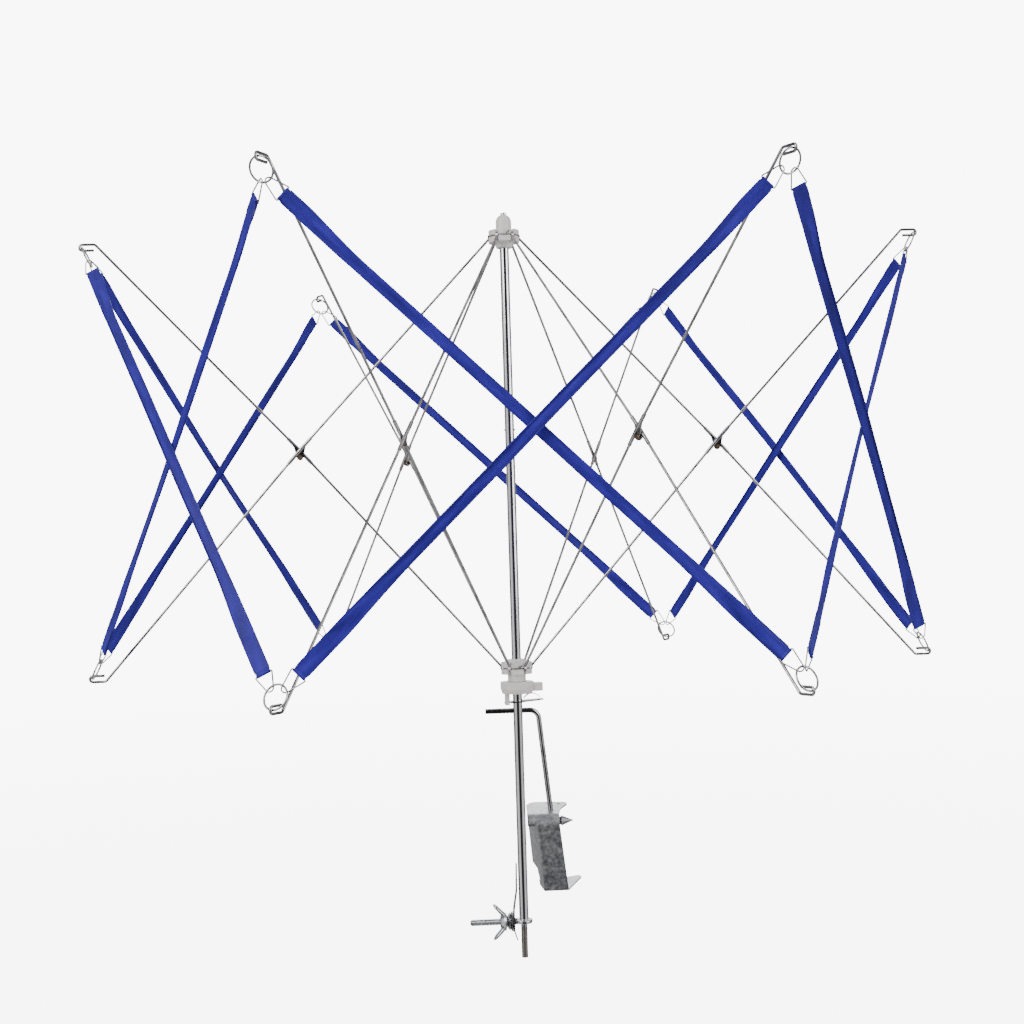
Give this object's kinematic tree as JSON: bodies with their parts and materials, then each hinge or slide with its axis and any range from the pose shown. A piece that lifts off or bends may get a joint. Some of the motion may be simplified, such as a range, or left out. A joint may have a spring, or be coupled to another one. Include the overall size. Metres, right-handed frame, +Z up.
{
  "type": "yarn swift",
  "caption": "Table-clamp umbrella yarn swift: scissor wire arms on a steel shaft, crossed ribbon straps between rings, sliding runner with a tilt lock, rod jaw and wing-nut bolt.",
  "frame": {"origin": "centre of the shaft's bottom end", "axes": "+Z up the shaft, +X along one arm and towards the clamp jaw"},
  "size_m": [0.633, 0.5484, 0.5581],
  "materials": {
    "ribbon": "satin",
    "milky_plastic": "translucent",
    "galvanised_sheet": "galvanised",
    "grey_steel": "matt",
    "bronze": "aged",
    "spring_steel": "bright",
    "zinc_steel": "zinc plated",
    "chrome_wire": "nickel plated"
  },
  "bodies": {
    "stand": {"shaft": "chrome_wire", "stop_pin": "chrome_wire", "clamp_bolt": "zinc_steel", "clamp_leaf": "spring_steel"},
    "reel_hub": {"top_hub": "milky_plastic", "top_tie_wire": "chrome_wire"},
    "rib_down_0": {"rib_down_0": "chrome_wire", "rivet_0": "bronze"},
    "rib_up_0": {"rib_up_0": "chrome_wire"},
    "rib_down_1": {"rib_down_1": "chrome_wire", "rivet_1": "bronze"},
    "rib_up_1": {"rib_up_1": "chrome_wire"},
    "rib_down_2": {"rib_down_2": "chrome_wire", "rivet_2": "bronze"},
    "rib_up_2": {"rib_up_2": "chrome_wire"},
    "rib_down_3": {"rib_down_3": "chrome_wire", "rivet_3": "bronze"},
    "rib_up_3": {"rib_up_3": "chrome_wire"},
    "rib_down_4": {"rib_down_4": "chrome_wire", "rivet_4": "bronze"},
    "rib_up_4": {"rib_up_4": "chrome_wire"},
    "rib_down_5": {"rib_down_5": "chrome_wire", "rivet_5": "bronze"},
    "rib_up_5": {"rib_up_5": "chrome_wire"},
    "runner": {"runner_hub": "milky_plastic", "runner_tie_wire": "chrome_wire"},
    "upper_ring_0": {"upper_ring_0": "chrome_wire"},
    "lower_ring_0": {"lower_ring_0": "chrome_wire"},
    "upper_ring_1": {"upper_ring_1": "chrome_wire"},
    "lower_ring_1": {"lower_ring_1": "chrome_wire"},
    "upper_ring_2": {"upper_ring_2": "chrome_wire"},
    "lower_ring_2": {"lower_ring_2": "chrome_wire"},
    "upper_ring_3": {"upper_ring_3": "chrome_wire"},
    "lower_ring_3": {"lower_ring_3": "chrome_wire"},
    "upper_ring_4": {"upper_ring_4": "chrome_wire"},
    "lower_ring_4": {"lower_ring_4": "chrome_wire"},
    "upper_ring_5": {"upper_ring_5": "chrome_wire"},
    "lower_ring_5": {"lower_ring_5": "chrome_wire"},
    "strap_0_1": {"strap_0_1": "ribbon"},
    "strap_0_5": {"strap_0_5": "ribbon"},
    "strap_1_2": {"strap_1_2": "ribbon"},
    "strap_1_0": {"strap_1_0": "ribbon"},
    "strap_2_3": {"strap_2_3": "ribbon"},
    "strap_2_1": {"strap_2_1": "ribbon"},
    "strap_3_4": {"strap_3_4": "ribbon"},
    "strap_3_2": {"strap_3_2": "ribbon"},
    "strap_4_5": {"strap_4_5": "ribbon"},
    "strap_4_3": {"strap_4_3": "ribbon"},
    "strap_5_0": {"strap_5_0": "ribbon"},
    "strap_5_4": {"strap_5_4": "ribbon"},
    "collar": {"runner_collar": "milky_plastic", "lock_spring": "spring_steel"},
    "lock_plate": {"lock_plate": "spring_steel"},
    "jaw": {"clamp_rod": "chrome_wire", "jaw_bracket": "galvanised_sheet", "jaw_spike": "grey_steel"},
    "washers": {"clamp_washers": "spring_steel"},
    "wing_nut": {"wing_nut": "zinc_steel"}
  },
  "joints": [
    {"name": "spin", "type": "hinge", "parent": "stand", "child": "reel_hub", "pos_m": [0, 0, 0.54], "axis": [0, 0, 1], "continuous": true},
    {"name": "fold", "type": "hinge", "parent": "reel_hub", "child": "rib_down_0", "pos_m": [0.01, 0, 0.54], "axis": [0, 1, 0], "range_deg": [-27, 0]},
    {"name": "fold_1", "type": "hinge", "parent": "reel_hub", "child": "rib_down_1", "pos_m": [0.005, 0.00866, 0.54], "axis": [-0.866, 0.5, 0], "range_deg": [-27, 0]},
    {"name": "fold_2", "type": "hinge", "parent": "reel_hub", "child": "rib_down_2", "pos_m": [-0.005, 0.00866, 0.54], "axis": [-0.866, -0.5, 0], "range_deg": [-27, 0]},
    {"name": "fold_3", "type": "hinge", "parent": "reel_hub", "child": "rib_down_3", "pos_m": [-0.01, 0, 0.54], "axis": [0, -1, 0], "range_deg": [-27, 0]},
    {"name": "fold_4", "type": "hinge", "parent": "reel_hub", "child": "rib_down_4", "pos_m": [-0.005, -0.00866, 0.54], "axis": [0.866, -0.5, 0], "range_deg": [-27, 0]},
    {"name": "fold_5", "type": "hinge", "parent": "reel_hub", "child": "rib_down_5", "pos_m": [0.005, -0.00866, 0.54], "axis": [0.866, 0.5, 0], "range_deg": [-27, 0]},
    {"name": "cross_0", "type": "hinge", "parent": "rib_down_0", "child": "rib_up_0", "pos_m": [0.157, 0, 0.378], "axis": [0, 1, 0], "range_deg": [0, 54]},
    {"name": "cross_1", "type": "hinge", "parent": "rib_down_1", "child": "rib_up_1", "pos_m": [0.0785, 0.13597, 0.378], "axis": [-0.866, 0.5, 0], "range_deg": [0, 54]},
    {"name": "cross_2", "type": "hinge", "parent": "rib_down_2", "child": "rib_up_2", "pos_m": [-0.0785, 0.13597, 0.378], "axis": [-0.866, -0.5, 0], "range_deg": [0, 54]},
    {"name": "cross_3", "type": "hinge", "parent": "rib_down_3", "child": "rib_up_3", "pos_m": [-0.157, 0, 0.378], "axis": [0, -1, 0], "range_deg": [0, 54]},
    {"name": "cross_4", "type": "hinge", "parent": "rib_down_4", "child": "rib_up_4", "pos_m": [-0.0785, -0.13597, 0.378], "axis": [0.866, -0.5, 0], "range_deg": [0, 54]},
    {"name": "cross_5", "type": "hinge", "parent": "rib_down_5", "child": "rib_up_5", "pos_m": [0.0785, -0.13597, 0.378], "axis": [0.866, 0.5, 0], "range_deg": [0, 54]},
    {"name": "runner_pivot", "type": "hinge", "parent": "rib_up_0", "child": "runner", "pos_m": [0.01, 0, 0.216], "axis": [0, 1, 0], "range_deg": [-27, 0]},
    {"name": "upper_ring_0_swing", "type": "hinge", "parent": "rib_up_0", "child": "upper_ring_0", "pos_m": [0.3133, 0, 0.5378], "axis": [0, 1, 0], "range_deg": [-27, 0]},
    {"name": "lower_ring_0_swing", "type": "hinge", "parent": "rib_down_0", "child": "lower_ring_0", "pos_m": [0.3133, 0, 0.2182], "axis": [0, 1, 0], "range_deg": [0, 27]},
    {"name": "upper_ring_1_swing", "type": "hinge", "parent": "rib_up_1", "child": "upper_ring_1", "pos_m": [0.15665, 0.27133, 0.5378], "axis": [-0.866, 0.5, 0], "range_deg": [-27, 0]},
    {"name": "lower_ring_1_swing", "type": "hinge", "parent": "rib_down_1", "child": "lower_ring_1", "pos_m": [0.15665, 0.27133, 0.2182], "axis": [-0.866, 0.5, 0], "range_deg": [0, 27]},
    {"name": "upper_ring_2_swing", "type": "hinge", "parent": "rib_up_2", "child": "upper_ring_2", "pos_m": [-0.15665, 0.27133, 0.5378], "axis": [-0.866, -0.5, 0], "range_deg": [-27, 0]},
    {"name": "lower_ring_2_swing", "type": "hinge", "parent": "rib_down_2", "child": "lower_ring_2", "pos_m": [-0.15665, 0.27133, 0.2182], "axis": [-0.866, -0.5, 0], "range_deg": [0, 27]},
    {"name": "upper_ring_3_swing", "type": "hinge", "parent": "rib_up_3", "child": "upper_ring_3", "pos_m": [-0.3133, 0, 0.5378], "axis": [0, -1, 0], "range_deg": [-27, 0]},
    {"name": "lower_ring_3_swing", "type": "hinge", "parent": "rib_down_3", "child": "lower_ring_3", "pos_m": [-0.3133, 0, 0.2182], "axis": [0, -1, 0], "range_deg": [0, 27]},
    {"name": "upper_ring_4_swing", "type": "hinge", "parent": "rib_up_4", "child": "upper_ring_4", "pos_m": [-0.15665, -0.27133, 0.5378], "axis": [0.866, -0.5, 0], "range_deg": [-27, 0]},
    {"name": "lower_ring_4_swing", "type": "hinge", "parent": "rib_down_4", "child": "lower_ring_4", "pos_m": [-0.15665, -0.27133, 0.2182], "axis": [0.866, -0.5, 0], "range_deg": [0, 27]},
    {"name": "upper_ring_5_swing", "type": "hinge", "parent": "rib_up_5", "child": "upper_ring_5", "pos_m": [0.15665, -0.27133, 0.5378], "axis": [0.866, 0.5, 0], "range_deg": [-27, 0]},
    {"name": "lower_ring_5_swing", "type": "hinge", "parent": "rib_down_5", "child": "lower_ring_5", "pos_m": [0.15665, -0.27133, 0.2182], "axis": [0.866, 0.5, 0], "range_deg": [0, 27]},
    {"name": "strap_0_1_swing", "type": "hinge", "parent": "upper_ring_0", "child": "strap_0_1", "pos_m": [0.30705, 0.0028, 0.52408], "axis": [-0.866, -0.5, 0], "range_deg": [-28.57, 0]},
    {"name": "strap_0_5_swing", "type": "hinge", "parent": "upper_ring_0", "child": "strap_0_5", "pos_m": [0.30705, -0.0028, 0.52408], "axis": [0.866, -0.5, 0], "range_deg": [-28.57, 0]},
    {"name": "strap_1_2_swing", "type": "hinge", "parent": "upper_ring_1", "child": "strap_1_2", "pos_m": [0.14905, 0.26938, 0.52577], "axis": [0, -1, 0], "range_deg": [-28.69, 0]},
    {"name": "strap_1_0_swing", "type": "hinge", "parent": "upper_ring_1", "child": "strap_1_0", "pos_m": [0.15877, 0.26377, 0.52577], "axis": [0.866, 0.5, 0], "range_deg": [-28.69, 0]},
    {"name": "strap_2_3_swing", "type": "hinge", "parent": "upper_ring_2", "child": "strap_2_3", "pos_m": [-0.15594, 0.26451, 0.52408], "axis": [0.866, -0.5, 0], "range_deg": [-28.57, 0]},
    {"name": "strap_2_1_swing", "type": "hinge", "parent": "upper_ring_2", "child": "strap_2_1", "pos_m": [-0.1511, 0.26731, 0.52408], "axis": [0, 1, 0], "range_deg": [-28.57, 0]},
    {"name": "strap_3_4_swing", "type": "hinge", "parent": "upper_ring_3", "child": "strap_3_4", "pos_m": [-0.30782, -0.00561, 0.52577], "axis": [0.866, 0.5, 0], "range_deg": [-28.69, 0]},
    {"name": "strap_3_2_swing", "type": "hinge", "parent": "upper_ring_3", "child": "strap_3_2", "pos_m": [-0.30782, 0.00561, 0.52577], "axis": [-0.866, 0.5, 0], "range_deg": [-28.69, 0]},
    {"name": "strap_4_5_swing", "type": "hinge", "parent": "upper_ring_4", "child": "strap_4_5", "pos_m": [-0.1511, -0.26731, 0.52408], "axis": [0, 1, 0], "range_deg": [-28.57, 0]},
    {"name": "strap_4_3_swing", "type": "hinge", "parent": "upper_ring_4", "child": "strap_4_3", "pos_m": [-0.15594, -0.26451, 0.52408], "axis": [-0.866, -0.5, 0], "range_deg": [-28.57, 0]},
    {"name": "strap_5_0_swing", "type": "hinge", "parent": "upper_ring_5", "child": "strap_5_0", "pos_m": [0.15877, -0.26377, 0.52577], "axis": [-0.866, 0.5, 0], "range_deg": [-28.69, 0]},
    {"name": "strap_5_4_swing", "type": "hinge", "parent": "upper_ring_5", "child": "strap_5_4", "pos_m": [0.14905, -0.26938, 0.52577], "axis": [0, -1, 0], "range_deg": [-28.69, 0]},
    {"name": "collar_turn", "type": "hinge", "parent": "runner", "child": "collar", "pos_m": [0, 0, 0.202], "axis": [0, 0, 1], "continuous": true},
    {"name": "lock_tilt", "type": "hinge", "parent": "collar", "child": "lock_plate", "pos_m": [-0.0075, 0, 0.1903], "axis": [0, -1, 0], "range_deg": [0, 9], "stiffness_Nm_per_rad": 0.15, "springref_deg": -5.73, "deforming": ["lock_spring"]},
    {"name": "jaw_slide", "type": "slide", "parent": "stand", "child": "jaw", "axis": [1, 0, 0], "range_m": [0, 0.02]},
    {"name": "nut_travel", "type": "slide", "parent": "stand", "child": "washers", "axis": [-1, 0, 0], "range_m": [0, 0.016]},
    {"name": "nut_turn", "type": "hinge", "parent": "washers", "child": "wing_nut", "pos_m": [-0.015, 0, 0.027], "axis": [-1, 0, 0], "range_deg": [0, 7200]}
  ],
  "couplings": [
    {"joint": "fold_1", "follows": "fold", "ratio": 1},
    {"joint": "fold_2", "follows": "fold", "ratio": 1},
    {"joint": "fold_3", "follows": "fold", "ratio": 1},
    {"joint": "fold_4", "follows": "fold", "ratio": 1},
    {"joint": "fold_5", "follows": "fold", "ratio": 1},
    {"joint": "cross_0", "follows": "fold", "ratio": -2},
    {"joint": "cross_1", "follows": "fold", "ratio": -2},
    {"joint": "cross_2", "follows": "fold", "ratio": -2},
    {"joint": "cross_3", "follows": "fold", "ratio": -2},
    {"joint": "cross_4", "follows": "fold", "ratio": -2},
    {"joint": "cross_5", "follows": "fold", "ratio": -2},
    {"joint": "runner_pivot", "follows": "fold", "ratio": 1},
    {"joint": "upper_ring_0_swing", "follows": "fold", "ratio": 1},
    {"joint": "lower_ring_0_swing", "follows": "fold", "ratio": -1},
    {"joint": "upper_ring_1_swing", "follows": "fold", "ratio": 1},
    {"joint": "lower_ring_1_swing", "follows": "fold", "ratio": -1},
    {"joint": "upper_ring_2_swing", "follows": "fold", "ratio": 1},
    {"joint": "lower_ring_2_swing", "follows": "fold", "ratio": -1},
    {"joint": "upper_ring_3_swing", "follows": "fold", "ratio": 1},
    {"joint": "lower_ring_3_swing", "follows": "fold", "ratio": -1},
    {"joint": "upper_ring_4_swing", "follows": "fold", "ratio": 1},
    {"joint": "lower_ring_4_swing", "follows": "fold", "ratio": -1},
    {"joint": "upper_ring_5_swing", "follows": "fold", "ratio": 1},
    {"joint": "lower_ring_5_swing", "follows": "fold", "ratio": -1},
    {"joint": "strap_0_1_swing", "follows": "fold", "ratio": 1.0578},
    {"joint": "strap_0_5_swing", "follows": "fold", "ratio": 1.0578},
    {"joint": "strap_1_2_swing", "follows": "fold", "ratio": 1.0624},
    {"joint": "strap_1_0_swing", "follows": "fold", "ratio": 1.0624},
    {"joint": "strap_2_3_swing", "follows": "fold", "ratio": 1.0578},
    {"joint": "strap_2_1_swing", "follows": "fold", "ratio": 1.0578},
    {"joint": "strap_3_4_swing", "follows": "fold", "ratio": 1.0624},
    {"joint": "strap_3_2_swing", "follows": "fold", "ratio": 1.0624},
    {"joint": "strap_4_5_swing", "follows": "fold", "ratio": 1.0578},
    {"joint": "strap_4_3_swing", "follows": "fold", "ratio": 1.0578},
    {"joint": "strap_5_0_swing", "follows": "fold", "ratio": 1.0624},
    {"joint": "strap_5_4_swing", "follows": "fold", "ratio": 1.0624},
    {"joint": "collar_turn", "follows": "spin", "ratio": -1},
    {"joint": "nut_travel", "follows": "nut_turn", "m_per_rad": 0.00012732}
  ]
}
